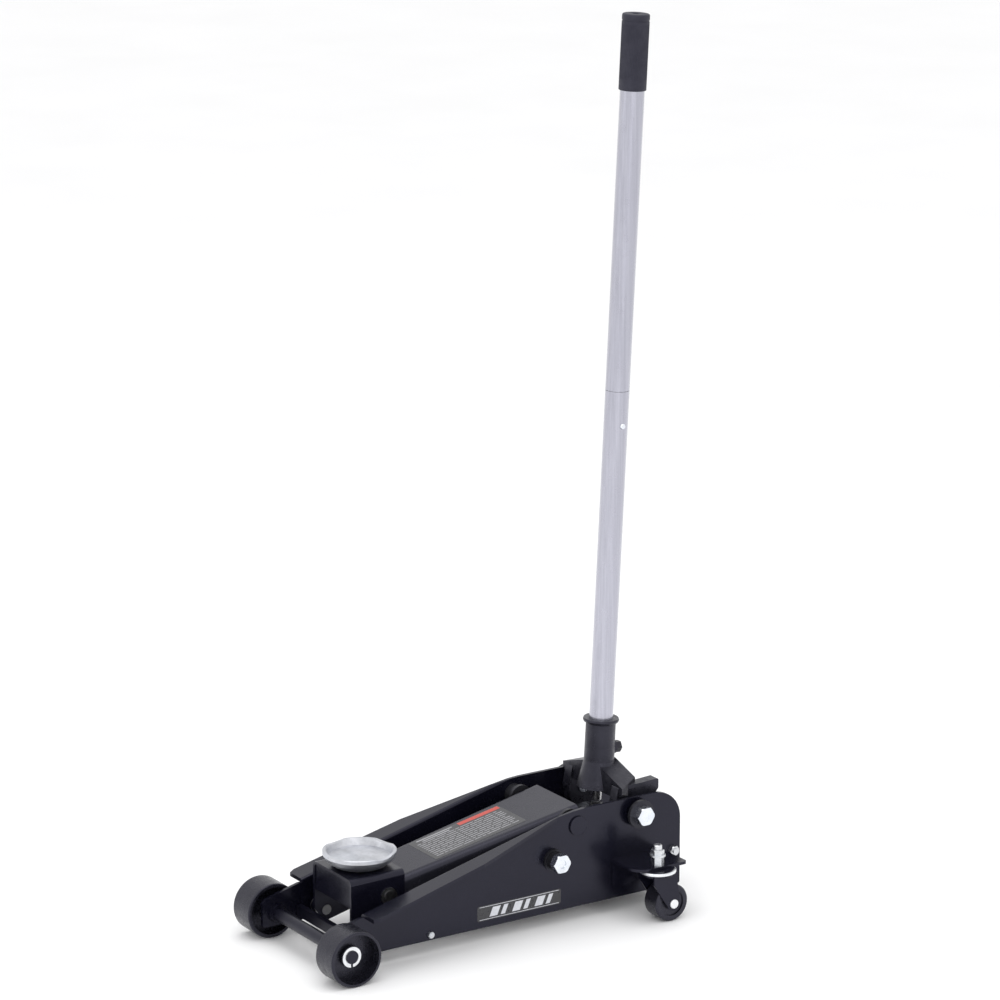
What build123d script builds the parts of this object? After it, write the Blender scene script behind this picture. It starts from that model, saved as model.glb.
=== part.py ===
from build123d import *

import os
from math import atan2, cos, radians

# Hydraulic floor jack, in millimetres.  X is across the jack (right is +X), Y runs from the
# saddle end to the handle end and Z is up from the ground.  Inside this file Y is counted from
# the front axle; save() moves every piece so that the origin is under the middle of the jack.

# ---------------------------------------------------------------- chassis
front_wheel_radius = 38.0
rear_edge_y = 546.0
middle_y = (rear_edge_y - front_wheel_radius) / 2

plate_outer_x = 82.0
plate_thickness = 5.0
plate_inner_x = plate_outer_x - plate_thickness
plate_bottom_z = 21.0
plate_front_y = -22.0
plate_top_z = 159.0
rear_corner_radius = 42.0
flange_front = (38.7, 78.7)
flange_rear = (343.0, 154.0)
flange_width_x = 110.0

# ---------------------------------------------------------------- pivots, as (y, z)
axle_point = (0.0, front_wheel_radius)
lift_pivot = (377.0, 136.5)
link_pivot = (337.0, 96.0)
head_pivot = (98.0, 82.0)
head_link_pivot = (
    head_pivot[0] + link_pivot[0] - lift_pivot[0],
    head_pivot[1] + link_pivot[1] - lift_pivot[1],
)
handle_pivot = (474.0, 137.0)
lower_tie = (142.0, 29.0)
rear_tie = (534.0, 71.0)
lever_pin = (lift_pivot[0] + 25.0, lift_pivot[1] - 38.0)
pump_roller = (handle_pivot[0] + 3.0, handle_pivot[1] - 26.0)

# ---------------------------------------------------------------- clearances
running_gap = 0.08
face_gap = 0.4

# ---------------------------------------------------------------- lift arm
arm_slope = 0.19
arm_top_at_axle = 77.9
arm_wall = 4.5
arm_front_y = 80.0
arm_rear_y = 397.0
arm_half_front = 42.0
arm_half_rear = 56.0
arm_bend_radius = 10.0
lift_shaft_radius = 9.0
link_inner_x = 60.0
link_outer_x = 67.0

# ---------------------------------------------------------------- saddle and its bracket
saddle_y = 83.0
saddle_rim_radius = 49.5
saddle_rim_z = 136.0
saddle_floor_z = 127.0
bracket_top_z = 114.0
bracket_front_y = 40.0
bracket_rear_y = 123.0
bracket_outer_x = 49.0
bracket_wall = 4.0

# ---------------------------------------------------------------- hydraulics
ram_z = 97.0
ram_radius = 11.0
ram_piston_y = 510.0
cylinder_radius = 20.0
cylinder_front_y = 424.0
cylinder_rear_y = 520.0
tank_radius = 24.0
base_front_y = 425.0
base_rear_y = 470.0
base_half_x = 30.0
base_top_z = 122.0
cross_plate_top_z = 28.0
pump_x = 36.0
plunger_face_y = pump_roller[0] - 8.6
plunger_head = 4.0
spring_x = 38.0
spring_z = 68.0
spring_anchor_y = 512.0

# ---------------------------------------------------------------- handle
handle_tilt = 2.9
handle_foot = (464.0, 130.0)
tube_radius = 16.5
tube_wall = 2.0
socket_top = 121.0
tube_bottom = 22.0
joint_height = 579.5
grip_bottom = 984.7
handle_top = 1086.0
grip_radius = 18.5
button_height = joint_height - 47.5
cheek_inner_x = 48.0
cheek_outer_x = 64.0
shoulder_x = 72.0

# ---------------------------------------------------------------- casters
caster_x = 138.0
caster_y = 469.5
caster_trail = 14.5
caster_radius = 26.0
caster_width = 30.0
bracket_plate_z = 79.0

BASE = (Align.CENTER, Align.CENTER, Align.MIN)


# ---------------------------------------------------------------- small helpers
def save(name, *solids):
    """Write the solids of one sub-part as one file, moved to the part's own origin."""
    moved = [solid.moved(Location((0, -middle_y, 0))) for piece in solids for solid in piece.solids()]
    export_step(moved[0] if len(moved) == 1 else Compound(children=moved), f"parts/{name}.step")


def rod_x(radius, x0, x1, point):
    """A round bar across the jack, at the point (y, z)."""
    return Pos(x0, *point) * Rot(0, 90, 0) * Cylinder(radius, x1 - x0, align=BASE)


def rod_y(radius, y0, y1, x, z):
    """A round bar along the jack."""
    return Pos(x, y0, z) * Rot(-90, 0, 0) * Cylinder(radius, y1 - y0, align=BASE)


def rod_z(radius, z0, z1, x, y):
    """An upright round bar."""
    return Pos(x, y, z0) * Cylinder(radius, z1 - z0, align=BASE)


def block(x0, x1, y0, y1, z0, z1):
    """A rectangular block between two corners."""
    return Pos((x0 + x1) / 2, (y0 + y1) / 2, (z0 + z1) / 2) * Box(x1 - x0, y1 - y0, z1 - z0)


def side_shape(points, x0, x1):
    """A plate across X whose outline is a list of (y, z) points."""
    outline = make_face(Polyline(*points, close=True))
    return extrude(Plane.YZ.offset(x0) * outline, amount=x1 - x0)


def plan_shape(points, z0, z1):
    """A plate lying flat whose outline is a list of (x, y) points."""
    outline = make_face(Polyline(*points, close=True))
    return extrude(Plane.XY.offset(z0) * outline, amount=z1 - z0)


def hex_x(across_flats, x0, x1, point):
    """A hexagonal head along X with its outer corners turned off at the x1 end."""
    corner = across_flats / 2 / cos(radians(30))
    prism = extrude(Plane.YZ.offset(x0) * Pos(*point) * RegularPolygon(corner, 6), amount=x1 - x0)
    turned = rod_x(corner, x0, x1, point)
    turned = chamfer(turned.edges().sort_by(Axis.X)[-1], 1.6, 1.0)
    return prism & turned


def hex_z(across_flats, z0, z1, x, y):
    """An upright hexagonal nut with a chamfered top."""
    corner = across_flats / 2 / cos(radians(30))
    prism = extrude(Plane.XY.offset(z0) * Pos(x, y) * RegularPolygon(corner, 6), amount=z1 - z0)
    turned = chamfer(rod_z(corner, z0, z1, x, y).edges().sort_by(Axis.Z)[-1], 1.4, 0.9)
    return prism & turned


def mirrored(shape):
    """The same piece on the other side of the jack."""
    return mirror(shape, about=Plane.YZ)


def both(shape):
    """A piece and its mirror image, as two solids."""
    return [shape, mirrored(shape)]


def nearest_vertices(sketch, *points):
    """The corners of a flat outline that lie at the given points."""
    return [sketch.vertices().sort_by_distance((p[0], p[1], 0))[0] for p in points]


# ---------------------------------------------------------------- chassis pieces
def side_plate():
    """The right side plate: a flat web and a flange bent outwards along its sloping top."""
    slope = (flange_rear[1] - flange_front[1]) / (flange_rear[0] - flange_front[0])
    rear_top = (rear_edge_y, plate_top_z)
    front_low = (plate_front_y, plate_bottom_z)
    outline = make_face(
        Polyline(
            front_low,
            (plate_front_y, 55.5),
            (plate_front_y + 6, 61.0),
            (34.0, flange_front[1] - plate_thickness),
            (flange_front[0], flange_front[1] - plate_thickness),
            flange_front,
            flange_rear,
            (371.0, 158.0),
            (388.0, plate_top_z),
            rear_top,
            (rear_edge_y, plate_bottom_z),
            close=True,
        )
    )
    outline = fillet(nearest_vertices(outline, rear_top), rear_corner_radius)
    outline = fillet(nearest_vertices(outline, front_low, (rear_edge_y, plate_bottom_z)), 3.0)
    web = extrude(Plane.YZ.offset(plate_inner_x) * outline, amount=plate_thickness)

    drop = plate_thickness / cos(atan2(slope, 1))
    strip = side_shape(
        [
            flange_front,
            flange_rear,
            (flange_rear[0], flange_rear[1] - drop),
            (flange_front[0], flange_front[1] - drop),
        ],
        plate_inner_x,
        flange_width_x + 5,
    )
    spread = plan_shape(
        [
            (plate_inner_x, flange_front[0]),
            (flange_width_x - 2, flange_front[0]),
            (flange_width_x + 2, flange_front[0] + 8),
            (flange_width_x - 3.5, 212.0),
            (plate_outer_x, flange_rear[0]),
            (plate_inner_x, flange_rear[0]),
        ],
        0,
        plate_top_z + 10,
    )
    plate = web + (strip & spread)
    along = [
        edge
        for edge in plate.edges()
        if abs(edge.center().X - plate_inner_x) < 0.01
        and abs(edge.length - (flange_rear[0] - flange_front[0]) / cos(atan2(slope, 1))) < 1.0
        and edge.center().Z > 110
    ]
    plate = fillet(along, plate_thickness - 0.5)
    for point, radius in (
        (axle_point, 9.0),
        (lift_pivot, lift_shaft_radius),
        (link_pivot, 8.0),
        (handle_pivot, 8.0),
        (lower_tie, 3.0),
        (rear_tie, 4.0),
    ):
        plate -= rod_x(radius, plate_inner_x - 1, plate_outer_x + 1, point)
    return plate


def tie_nuts():
    """The nuts outside the two small tie rods."""
    nuts = []
    for point, radius, flats, thick in ((lower_tie, 3.0, 9.0, 4.0), (rear_tie, 4.0, 13.0, 6.5)):
        nut = hex_x(flats, plate_outer_x, plate_outer_x + thick, point)
        nuts += both(nut - rod_x(radius, plate_outer_x - 1, plate_outer_x + thick + 1, point))
    return nuts


def front_wheel():
    """The right front wheel: a cast wheel, dished on both sides of its web."""
    inner_x, outer_x = 87.0, 129.0
    wheel = rod_x(front_wheel_radius, inner_x, outer_x, axle_point)
    wheel = fillet(wheel.edges().filter_by(GeomType.CIRCLE), 2.0)
    wheel -= rod_x(front_wheel_radius - 4.2, 109.0, outer_x + 1, axle_point)
    wheel -= rod_x(front_wheel_radius - 5.0, inner_x - 1, 102.0, axle_point)
    wheel += rod_x(14.5, plate_outer_x + 1.0, 114.0, axle_point)
    return wheel - rod_x(9.0 + running_gap, plate_outer_x, outer_x, axle_point)


def wheel_clip():
    """A snap ring in the groove at the axle's end, open at the bottom."""
    ring = rod_x(14.0, 114.4, 116.4, axle_point) - rod_x(9.0, 114.0, 117.0, axle_point)
    return ring - block(114.0, 117.0, -1.6, 1.6, 20.0, front_wheel_radius - 8.0)


def link_bolt():
    """The bolt that one connecting rod turns on, with a small turned recess in its head."""
    bolt = hex_x(24.0, 96.0, 106.0, link_pivot) + rod_x(8.0, 58.6, 96.0, link_pivot)
    return bolt - rod_x(6.0, 104.4, 107.0, link_pivot)


def handle_bolt():
    """The bolt that one cheek of the handle socket turns on."""
    return hex_x(24.0, 94.0, 105.5, handle_pivot) + rod_x(8.0, 46.4, 94.0, handle_pivot)


def ring_x(outer, inner, x0, x1, point):
    """A washer or collar across X."""
    return rod_x(outer, x0, x1, point) - rod_x(inner, x0 - 1, x1 + 1, point)


def caster_bracket():
    """An angle bracket on the side plate, with the upper bearing cup of its caster."""
    top = make_face(
        Polyline(
            (plate_outer_x, 430.0),
            (147.0, 430.0),
            (147.0, 513.0),
            (plate_outer_x, 510.0),
            close=True,
        )
    )
    top = fillet(nearest_vertices(top, (147.0, 430.0)), 24.0)
    top = fillet(nearest_vertices(top, (147.0, 513.0)), 5.0)
    shelf = extrude(Plane.XY.offset(bracket_plate_z - 4) * top, amount=4)
    leg = block(plate_outer_x, plate_outer_x + 4, 432.0, 508.0, 40.0, bracket_plate_z - 4)
    cup = rod_z(22.5, 74.2, bracket_plate_z - 4, caster_x, caster_y)
    return shelf + leg + cup - rod_z(6.0, 60.0, 90.0, caster_x, caster_y)


def rear_cross_plate():
    """The floor plate between the side plates that the pump stands on."""
    floor = block(-plate_inner_x, plate_inner_x, 420.0, 538.0, cross_plate_top_z - 4, cross_plate_top_z)
    for x in (-20.0, 20.0):
        for y in (436.0, 459.0):
            floor -= rod_z(4.0, 20.0, 30.0, x, y)
    anchor = spring_anchor()
    return floor + anchor + mirrored(anchor)


def base_bolts():
    """Four bolts that hold the pump on its floor plate, heads underneath."""
    bolts = []
    for x in (-20.0, 20.0):
        for y in (436.0, 459.0):
            head = extrude(Plane.XY.offset(18.8) * Pos(x, y) * RegularPolygon(7.5, 6), amount=5.2)
            bolts.append(head + rod_z(4.0, 24.0, 44.0, x, y))
    return bolts


# ---------------------------------------------------------------- hydraulic unit
def pump_base():
    """The cast base: main block, a lug for the pump barrel and a boss for the release valve."""
    body = block(-base_half_x, base_half_x, base_front_y, base_rear_y, cross_plate_top_z, base_top_z)
    body = fillet(body.edges().filter_by(Axis.Z), 5.0)
    body = chamfer(body.faces().sort_by(Axis.Z)[-1].edges(), 2.0)
    lug = block(base_half_x - 6, pump_x + 11, base_front_y, 440.0, pump_roller[1] - 14, pump_roller[1] + 11)
    lug = fillet(lug.edges().filter_by(Axis.Y).group_by(Axis.X)[-1], 6.0)
    body += lug
    body -= rod_y(cylinder_radius, base_front_y - 1, base_rear_y + 1, 0, ram_z)
    body -= rod_y(9.0, base_front_y - 1, base_rear_y - 20, pump_x, pump_roller[1])
    body -= block(base_half_x, pump_x + 12, 440.0, base_rear_y + 1, 90.0, 130.0)
    body -= rod_y(10.5, 439.0, base_rear_y + 1, pump_x, pump_roller[1])
    body -= rod_z(5.0 + running_gap, 117.2, base_top_z + 1, 0, 463.0)
    for x in (-20.0, 20.0):
        for y in (436.0, 459.0):
            body -= rod_z(4.0, 20.0, 44.0, x, y)
    return body


def ram_cylinder():
    """The pressure cylinder, closed at its rear end."""
    tube = rod_y(cylinder_radius, cylinder_front_y, cylinder_rear_y, 0, ram_z)
    return tube - rod_y(14.0, cylinder_front_y - 1, cylinder_rear_y - 6, 0, ram_z)


def tank():
    """The oil tank, a tube round the rear of the cylinder with a domed end cap."""
    shell = rod_y(tank_radius, base_rear_y, cylinder_rear_y + 4, 0, ram_z)
    shell = fillet(shell.edges().sort_by(Axis.Y)[-1], 4.0)
    return shell - rod_y(cylinder_radius, base_rear_y - 1, cylinder_rear_y, 0, ram_z)


def gland_nut():
    """The nut that closes the front of the cylinder round the ram."""
    nut = rod_y(18.0, cylinder_front_y - 7, cylinder_front_y, 0, ram_z)
    nut = chamfer(nut.edges().sort_by(Axis.Y)[0], 1.5)
    return nut - rod_y(ram_radius + running_gap, cylinder_front_y - 8, cylinder_front_y + 1, 0, ram_z)


def ram():
    """The ram and its piston, drawn fully back."""
    rod = rod_y(ram_radius, lever_pin[0] + 14.0, ram_piston_y, 0, ram_z)
    return rod + rod_y(14.0 - running_gap, ram_piston_y - 14.0, ram_piston_y, 0, ram_z)


def ram_head():
    """The crosshead on the ram: an upright slot for the lever pin and a bar for the springs."""
    y = lever_pin[0]
    head = block(-16.0, 16.0, y - 14.0, y + 14.0, 62.0, 114.0)
    head = fillet(head.edges().filter_by(Axis.X), 4.0)
    slot = block(-17.0, 17.0, y - 8.4, y + 8.4, 90.0, 101.0)
    for z in (90.0, 101.0):
        slot += rod_x(8.4, -17.0, 17.0, (y, z))
    head -= slot
    bar = rod_x(4.0, -spring_x - 6.0, spring_x + 6.0, (y, spring_z))
    return head + bar


def return_spring():
    """The closed outer shape of one return spring with its end eyes."""
    body = rod_y(6.0, lever_pin[0] + 9.0, spring_anchor_y - 9.0, spring_x, spring_z)
    for y, bar in ((lever_pin[0], 4.0), (spring_anchor_y, 4.0)):
        eye = rod_x(6.4, spring_x - 1.5, spring_x + 1.5, (y, spring_z))
        eye -= rod_x(bar, spring_x - 2, spring_x + 2, (y, spring_z))
        body += eye
    for y0, y1 in ((lever_pin[0] + 5.2, lever_pin[0] + 9.5), (spring_anchor_y - 9.5, spring_anchor_y - 5.2)):
        body += rod_y(1.1, y0, y1, spring_x, spring_z)
    return body


def spring_anchor():
    """The right post of the floor plate, which holds the rear end of one spring."""
    post = block(spring_x - 11, spring_x - 4, spring_anchor_y - 6, spring_anchor_y + 6, cross_plate_top_z, 76.0)
    post = fillet(post.edges().filter_by(Axis.X).group_by(Axis.Z)[-1], 5.0)
    return post + rod_x(4.0, spring_x - 4, spring_x + 6, (spring_anchor_y, spring_z))


def pump_barrel():
    """The small pump cylinder in the base's lug."""
    z = pump_roller[1]
    barrel = rod_y(9.0, 408.0, 440.8, pump_x, z)
    return barrel - rod_y(5.0 + running_gap, 411.0, 442.0, pump_x, z)


def pump_plunger():
    """The pump plunger with a flat head for the roller."""
    z = pump_roller[1]
    plunger = rod_y(5.0, 436.0, plunger_face_y, pump_x, z)
    return plunger + rod_y(9.0, plunger_face_y - plunger_head, plunger_face_y, pump_x, z)


def pump_spring():
    """The closed outer shape of the plunger's return spring."""
    z = pump_roller[1]
    spring = rod_y(8.0, 441.0, plunger_face_y - plunger_head - 0.2, pump_x, z)
    return spring - rod_y(5.5, 440.0, plunger_face_y, pump_x, z)


def release_spindle():
    """The release valve's spindle, with a slotted top under the foot of the handle."""
    spindle = rod_z(5.0, 117.6, 128.0, 0, 463.0) + rod_z(8.0, 124.0, 130.0, 0, 463.0)
    return spindle - block(-1.6, 1.6, 450.0, 476.0, 127.0, 131.0)


# ---------------------------------------------------------------- lift arm
def arm_top(y):
    """Height of the arm's top face above the ground, lowered."""
    return arm_top_at_axle + arm_slope * y


def arm_volume(inset):
    """The arm's closed outline; an inset volume takes the sheet's thickness away."""
    drop = inset / cos(atan2(arm_slope, 1))
    grow = 1.0 if inset else 0.0
    plan = plan_shape(
        [
            (arm_half_front - inset, arm_front_y - grow),
            (arm_half_rear - inset, arm_rear_y + grow),
            (-arm_half_rear + inset, arm_rear_y + grow),
            (-arm_half_front + inset, arm_front_y - grow),
        ],
        0,
        200,
    )
    front, rear = arm_front_y - 2 * grow, arm_rear_y + 2 * grow
    if inset:
        side = [(front, arm_top(front) - drop), (rear, arm_top(rear) - drop), (rear, 0), (front, 0)]
    else:
        side = [
            (front, arm_top(front)),
            (rear, arm_top(rear)),
            (rear + 1.0, 138.0),
            (rear - 3.0, 116.0),
            (rear - 14.0, 101.0),
            (lift_pivot[0] - 8.0, 94.0),
            (front + 12.0, 38.0),
            (front, 54.0),
        ]
    volume = plan & side_shape(side, -60, 60)
    top_edges = [
        edge
        for edge in volume.edges()
        if edge.length > 200 and edge.center().Z > arm_top(238) - drop - 5 and abs(edge.center().X) > 30
    ]
    return fillet(top_edges, arm_bend_radius - inset)


def lift_arm():
    """The lift arm: a deep channel, open below, wider towards its pivot."""
    arm = arm_volume(0) - arm_volume(arm_wall)
    arm -= rod_x(lift_shaft_radius + running_gap, -70, 70, lift_pivot)
    return arm - rod_x(8.0 + running_gap, -70, 70, head_pivot)


def arm_levers():
    """Two levers inside the arm that the ram pushes through their pin."""
    drop = arm_wall / cos(atan2(arm_slope, 1))
    levers = []
    for x in (-26.0, 18.0):
        lever = side_shape(
            [
                (300.0, arm_top(300) - drop),
                (394.0, arm_top(394) - drop),
                (lever_pin[0] + 11.6, lever_pin[1] + 3.0),
                (lever_pin[0] - 4.0, lever_pin[1] - 11.3),
                (lift_pivot[0] - 16.0, lift_pivot[1] - 22.0),
                (300.0, arm_top(300) - 16.0),
            ],
            x,
            x + 8.0,
        )
        lever += rod_x(12.0, x, x + 8.0, lever_pin)
        lever -= rod_x(7.0, x - 1, x + 9, lever_pin)
        levers.append(lever - rod_x(lift_shaft_radius + running_gap, x - 1, x + 9, lift_pivot))
    return levers


def connecting_rod():
    """The right connecting rod that keeps the saddle level."""
    rod = rod_x(13.0, link_inner_x, link_outer_x, link_pivot)
    rod += rod_x(11.0, link_inner_x, link_outer_x, head_link_pivot)
    rise = head_link_pivot[1] - link_pivot[1]
    run = head_link_pivot[0] - link_pivot[0]
    length = (rise**2 + run**2) ** 0.5
    across = (-rise / length, run / length)
    corners = [
        (link_pivot[0] + side * 9.0 * across[0], link_pivot[1] + side * 9.0 * across[1]) for side in (1, -1)
    ] + [
        (head_link_pivot[0] + side * 9.0 * across[0], head_link_pivot[1] + side * 9.0 * across[1])
        for side in (-1, 1)
    ]
    rod += side_shape(corners, link_inner_x, link_outer_x)
    rod -= rod_x(8.0 + running_gap, link_inner_x - 1, link_outer_x + 1, link_pivot)
    return rod - rod_x(7.5, link_inner_x - 1, link_outer_x + 1, head_link_pivot)


# ---------------------------------------------------------------- saddle head
def saddle_bracket():
    """The bent bracket under the saddle: a top and two side walls."""
    outer = block(
        -bracket_outer_x, bracket_outer_x, bracket_front_y, bracket_rear_y, 20.0, bracket_top_z
    )
    outer = fillet(outer.edges().filter_by(Axis.Y).group_by(Axis.Z)[-1], 8.0)
    inner_x = bracket_outer_x - bracket_wall
    inner = block(-inner_x, inner_x, bracket_front_y - 1, bracket_rear_y + 1, 0.0, bracket_top_z - bracket_wall)
    inner = fillet(inner.edges().filter_by(Axis.Y).group_by(Axis.Z)[-1], 4.0)
    walls = side_shape(
        [
            (bracket_front_y, bracket_top_z),
            (bracket_front_y, 46.0),
            (head_link_pivot[0] - 8.0, 31.5),
            (head_link_pivot[0] + 3.0, 27.0),
            (head_pivot[0] + 3.0, 36.5),
            (head_pivot[0] + 11.0, 56.0),
            (bracket_rear_y, 72.0),
            (bracket_rear_y, bracket_top_z),
        ],
        -60,
        60,
    )
    bracket = (outer - inner) & walls
    bracket -= rod_x(8.0, -60, 60, head_pivot)
    bracket -= rod_x(7.0, -60, 60, head_link_pivot)
    return bracket - rod_z(12.0 + running_gap, 100.0, 120.0, 0, saddle_y)


def bracket_front_plate():
    """The plate welded into the front of the bracket, a little behind its edges."""
    half = bracket_outer_x - bracket_wall
    plate = block(-half, half, bracket_front_y + 1.5, bracket_front_y + 5.5, 74.0, bracket_top_z - bracket_wall)
    return fillet(plate.edges().filter_by(Axis.Y).group_by(Axis.Z)[-1], 4.0)


def saddle():
    """The round lifting saddle: a dish with a wavy rim on a turning stem."""
    z0 = bracket_top_z + face_gap
    section = make_face(
        Polyline(
            (0, z0),
            (31.0, z0),
            (37.0, z0 + 2.6),
            (45.0, z0 + 9.0),
            (saddle_rim_radius, z0 + 16.0),
            (saddle_rim_radius, saddle_rim_z - 0.8),
            (saddle_rim_radius - 1.2, saddle_rim_z),
            (saddle_rim_radius - 4.2, saddle_rim_z),
            (saddle_rim_radius - 6.0, saddle_rim_z - 3.0),
            (41.0, saddle_floor_z),
            (0, saddle_floor_z),
            close=True,
        )
    )
    dish = revolve(Plane.XZ * section, Axis.Z)
    for angle in (12, 102, 192, 282):
        wave = Rot(0, 0, angle) * Pos(20.0, 0, saddle_rim_z + 57.4) * Rot(0, 90, 0)
        dish -= wave * Cylinder(60.0, 40.0, align=BASE)
    stem = rod_z(12.0, 104.6, z0 + 1.0, 0, 0)
    return Pos(0, saddle_y, 0) * (dish + stem)


def pin_rings(radius, x, point):
    """Retaining rings at both ends of a cross pin."""
    return both(ring_x(radius + 4.0, radius, x, x + 2.0, point))


# ---------------------------------------------------------------- handle
def on_handle(shape):
    """Put a shape drawn round an upright axis through the origin onto the handle's line."""
    return Pos(0, *handle_foot) * Rot(-handle_tilt, 0, 0) * shape


def tube(outer, inner, s0, s1):
    """A round tube on the handle's line between two heights along it."""
    return on_handle(
        Pos(0, 0, s0) * Cylinder(outer, s1 - s0, align=BASE)
        - Pos(0, 0, s0 - 1) * Cylinder(inner, s1 - s0 + 2, align=BASE)
    )


def core(radius, s0, s1):
    """A solid bar on the handle's line between two heights along it."""
    return on_handle(Pos(0, 0, s0) * Cylinder(radius, s1 - s0, align=BASE))


def handle_socket():
    """The cast handle socket: a barrel with a rolled lip, shoulders and two pivot cheeks."""
    section = make_face(
        Polyline(
            (0, 24.0),
            (29.3, 24.0),
            (21.0, 61.0),
            (20.6, socket_top - 7.0),
            (24.0, socket_top - 5.0),
            (25.0, socket_top - 2.5),
            (24.0, socket_top),
            (0, socket_top),
            close=True,
        )
    )
    barrel = on_handle(revolve(Plane.XZ * section, Axis.Z))
    shoulders = make_face(
        Polyline(
            (-6.0, 191.0),
            (6.0, 191.0),
            (shoulder_x, 170.5),
            (shoulder_x, 162.0),
            (cheek_outer_x, 156.0),
            (cheek_inner_x, 152.0),
            (-cheek_inner_x, 152.0),
            (-cheek_outer_x, 156.0),
            (-shoulder_x, 162.0),
            (-shoulder_x, 170.5),
            close=True,
        )
    )
    taper = plan_shape(
        [(shoulder_x, 456.0), (54.0, 490.0), (-54.0, 490.0), (-shoulder_x, 456.0)],
        150.0,
        200.0,
    )
    shoulder_block = extrude(Plane.XZ.offset(-490.0) * shoulders, amount=34.0) & taper
    cheek = side_shape(
        [
            (456.0, 170.5),
            (450.0, 140.0),
            (453.0, 122.0),
            (pump_roller[0] - 12.0, pump_roller[1] - 8.0),
            (pump_roller[0], pump_roller[1] - 12.0),
            (pump_roller[0] + 12.0, pump_roller[1] - 4.0),
            (497.0, 128.0),
            (522.0, 158.0),
            (522.0, 172.0),
            (494.0, 170.5),
        ],
        cheek_inner_x,
        cheek_outer_x,
    )
    cheek = fillet(cheek.edges().filter_by(Axis.X), 3.0)
    boss = on_handle(Pos(0, 15.0, 76.0) * Rot(-90, 0, 0) * Cylinder(9.5, 8.0, align=BASE))
    socket = barrel + boss + shoulder_block + cheek + mirrored(cheek)
    socket -= core(tube_radius + running_gap, 20.0, socket_top + 1)
    socket -= rod_x(8.0 + running_gap, -70, 70, handle_pivot)
    socket -= rod_x(6.0, cheek_inner_x - 1, cheek_outer_x - 5, pump_roller)
    return socket - on_handle(Pos(0, 15.0, 76.0) * Rot(-90, 0, 0) * Cylinder(4.0, 20.0, align=BASE))


def clamp_screw():
    """The hexagon screw at the back of the socket."""
    head = extrude(Plane.XY * RegularPolygon(8.5, 6), amount=8.0)
    shank = Pos(0, 0, -7.5) * Cylinder(4.0, 7.5, align=BASE)
    collar = Pos(0, 0, -1.2) * Cylinder(9.0, 1.2, align=BASE)
    return on_handle(Pos(0, 24.2, 76.0) * Rot(-90, 0, 0) * (head + shank + collar))


def roller_pin():
    """The pin in the right cheek that carries the pump roller."""
    return rod_x(6.0, 31.0, cheek_outer_x - 5, pump_roller)


def pump_roller_ring():
    """The roller that pushes the plunger."""
    return ring_x(8.0, 6.0 + running_gap, 31.5, 41.0, pump_roller)


def lower_tube():
    """The lower handle tube, with the hole for the snap button."""
    shell = tube(tube_radius, tube_radius - tube_wall, tube_bottom, joint_height - 0.6)
    return shell - on_handle(Pos(10, 0, button_height) * Rot(0, 90, 0) * Cylinder(4.1, 12, align=BASE))


def upper_tube():
    """The upper handle tube and the reduced end that goes into the lower tube."""
    top = tube(tube_radius, tube_radius - tube_wall, joint_height, handle_top - 6.0)
    spigot_outer = tube_radius - tube_wall - 0.1
    spigot = tube(spigot_outer, spigot_outer - tube_wall, joint_height - 90.0, joint_height + 40.0)
    hole = Pos(0, 0, button_height) * Rot(0, 90, 0) * Cylinder(4.1, 20, align=BASE)
    return top, spigot - on_handle(hole)


def grip():
    """The rubber grip, closed at the top round a small vent hole."""
    body = Pos(0, 0, grip_bottom) * Cylinder(grip_radius, handle_top - grip_bottom, align=BASE)
    body = fillet(body.edges().sort_by(Axis.Z)[-1], 2.5)
    body = chamfer(body.edges().sort_by(Axis.Z)[0], 0.8)
    body -= Pos(0, 0, grip_bottom - 1) * Cylinder(tube_radius, handle_top - 6 - grip_bottom + 1, align=BASE)
    return on_handle(body - Pos(0, 0, handle_top - 8) * Cylinder(3.0, 10, align=BASE))


def snap_button():
    """The sprung button that locks the two handle tubes."""
    button = Pos(9.0, 0, button_height) * Rot(0, 90, 0) * Cylinder(3.95, 9.5, align=BASE)
    return on_handle(fillet(button.edges().sort_by(Axis.X)[-1], 2.0))


def button_spring():
    """The leaf spring behind the snap button."""
    arc = Cylinder(11.6, 12.0) - Cylinder(10.6, 14.0) - Pos(0, -20, 0) * Box(60, 40, 30)
    leaf = Pos(0, 0, button_height) * Rot(0, 0, -90) * arc
    cut = Pos(5, 0, button_height) * Rot(0, 90, 0) * Cylinder(4.6, 12, align=BASE)
    return on_handle(leaf - cut)


def release_foot():
    """The plug in the handle's lower end with the blade that turns the release valve."""
    plug = Pos(0, 0, tube_bottom) * Cylinder(tube_radius - tube_wall, 22.0, align=BASE)
    blade = Pos(0, 0, tube_bottom - 18.0) * Cylinder(6.0, 18.0, align=BASE)
    return on_handle(plug + blade)


# ---------------------------------------------------------------- casters
def caster_fork():
    """The swivelling fork of the right caster."""
    crown = rod_z(22.5, 66.8, 70.4, caster_x, caster_y)
    axle_y = caster_y + caster_trail
    leg_x = caster_width / 2 + 4.0
    fork = crown
    for x0 in (caster_x - leg_x, caster_x + leg_x - 3.0):
        leg = side_shape(
            [
                (caster_y - 18.0, 70.4),
                (caster_y + 18.0, 70.4),
                (axle_y + 9.8, 29.0),
                (axle_y - 8.5, 21.0),
                (caster_y - 18.0, 58.0),
            ],
            x0,
            x0 + 3.0,
        )
        fork += leg + rod_x(10.0, x0, x0 + 3.0, (axle_y, caster_radius))
    fork -= rod_z(6.0 + running_gap, 60.0, 72.0, caster_x, caster_y)
    return fork - rod_x(4.0, caster_x - 25, caster_x + 25, (axle_y, caster_radius))


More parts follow.
